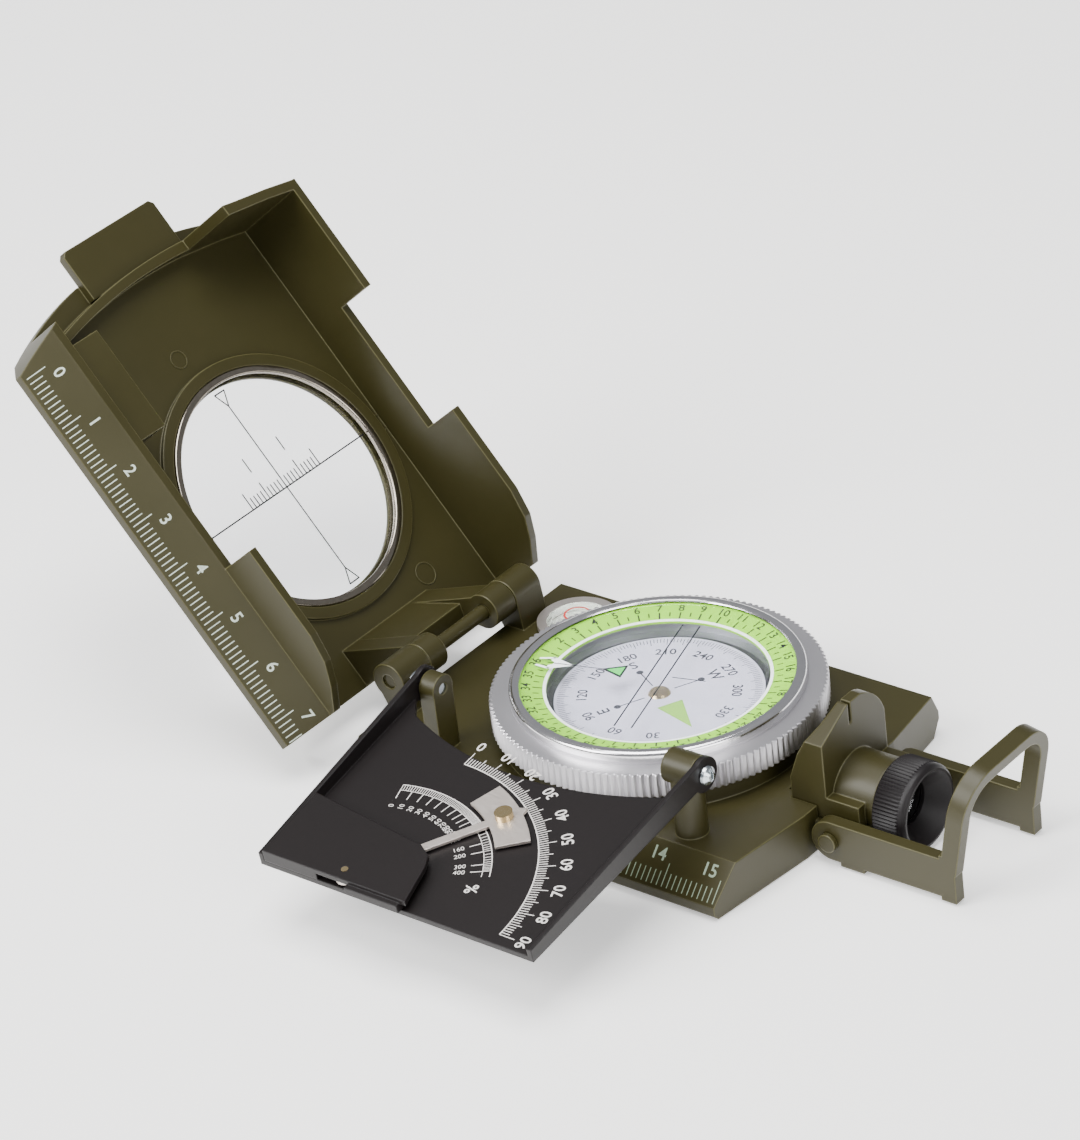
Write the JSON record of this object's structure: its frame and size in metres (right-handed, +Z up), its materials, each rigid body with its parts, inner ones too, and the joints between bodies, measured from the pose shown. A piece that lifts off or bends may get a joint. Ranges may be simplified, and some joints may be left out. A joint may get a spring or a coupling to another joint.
{
  "type": "sighting compass",
  "caption": "Hand-held sighting compass with a windowed hinged cover, turning luminous bezel, floating card, pendulum inclinometer tray, bubble level, focusing eyepiece and thumb loop.",
  "frame": {"origin": "centre of the floor plate's underside, on the dial's axis", "axes": "+X from the cover's hinge towards the eyepiece and thumb loop, +Y away from the ruler edge, +Z up through the dial"},
  "size_m": [0.1804, 0.0995, 0.0771],
  "materials": {
    "olive_casting": "satin olive paint over die-cast aluminium",
    "olive_sheet": "satin olive paint over pressed aluminium sheet",
    "satin_bezel": "satin, bare turned aluminium",
    "bare_aluminium": "turned and cleaned, bare",
    "card_aluminium": "matt printed grey-white",
    "black_aluminium": "black anodised",
    "black_sheet": "matt black paint with white print",
    "bright_chrome": "polished",
    "nickel_steel": "nickel plated",
    "zinc_steel": "zinc plated",
    "brass": "plain",
    "luminous_plastic": "pale green luminous print with black numbers",
    "white_plastic": "smooth",
    "level_liquid": "clear tinted spirit",
    "clear_window": "clear, polished",
    "black_rubber": "matt"
  },
  "bodies": {
    "base": {"base_casting": "olive_casting", "floor_plate": "olive_sheet", "floor_screws": "zinc_steel", "cushion_ring": "black_rubber", "capsule_bowl": "bare_aluminium", "capsule_seal": "black_rubber", "capsule_glass": "clear_window", "pivot_needle": "zinc_steel", "level_cup": "white_plastic", "level_liquid": "level_liquid", "level_window": "clear_window", "sight_housing": "olive_casting", "sight_prism": "clear_window", "sight_screw": "zinc_steel", "hinge_pin": "zinc_steel", "tray_screw": "zinc_steel", "tray_rivet": "zinc_steel", "loop_rivets": "brass"},
    "bezel": {"bezel_ring": "satin_bezel", "luminous_scale": "luminous_plastic", "bezel_crystal": "clear_window", "crystal_lip": "bright_chrome", "bezel_spring_ring": "zinc_steel"},
    "card": {"compass_card": "card_aluminium", "card_jewel": "brass", "card_magnets": "zinc_steel"},
    "cover": {"cover_casting": "olive_casting", "cover_window": "clear_window", "window_ring": "bright_chrome"},
    "tray": {"inclinometer_tray": "black_sheet", "pivot_cover": "black_sheet", "pendulum_pin": "brass"},
    "pendulum": {"pendulum": "nickel_steel", "pendulum_stud": "brass"},
    "loop": {"thumb_loop": "olive_casting"},
    "lens_cell": {"lens_cell": "black_aluminium", "eyepiece_lens": "clear_window"},
    "focus_ring": {"focus_ring": "black_aluminium"}
  },
  "joints": [
    {"name": "cover_hinge", "type": "hinge", "parent": "base", "child": "cover", "pos_m": [-0.0424, 0, 0.0133], "axis": [0, 1, 0], "range_deg": [-50, 80]},
    {"name": "tray_hinge", "type": "hinge", "parent": "base", "child": "tray", "pos_m": [0, -0.0236, 0.0197], "axis": [-1, 0, 0], "range_deg": [0, 188]},
    {"name": "pendulum_swing", "type": "hinge", "parent": "tray", "child": "pendulum", "pos_m": [-0.011, -0.06707, 0.01359], "axis": [0, -0.1392, 0.9903], "range_deg": [-58, 36]},
    {"name": "bezel_turn", "type": "hinge", "parent": "base", "child": "bezel", "pos_m": [0, 0, 0.0133], "axis": [0, 0, 1], "continuous": true},
    {"name": "card_turn", "type": "hinge", "parent": "base", "child": "card", "pos_m": [0, 0, 0.013], "axis": [0, 0, 1], "continuous": true},
    {"name": "loop_hinge", "type": "hinge", "parent": "base", "child": "loop", "pos_m": [0.0412, 0, 0.0045], "axis": [0, 1, 0], "range_deg": [-90, 90]},
    {"name": "focus_turn", "type": "hinge", "parent": "lens_cell", "child": "focus_ring", "pos_m": [0.0466, 0, 0.0077], "axis": [1, 0, 0], "range_deg": [0, 270]},
    {"name": "lens_slide", "type": "slide", "parent": "base", "child": "lens_cell", "axis": [1, 0, 0], "range_m": [0, 0.0015]}
  ],
  "couplings": [
    {"joint": "lens_slide", "follows": "focus_turn", "m_per_rad": 0.000318}
  ]
}
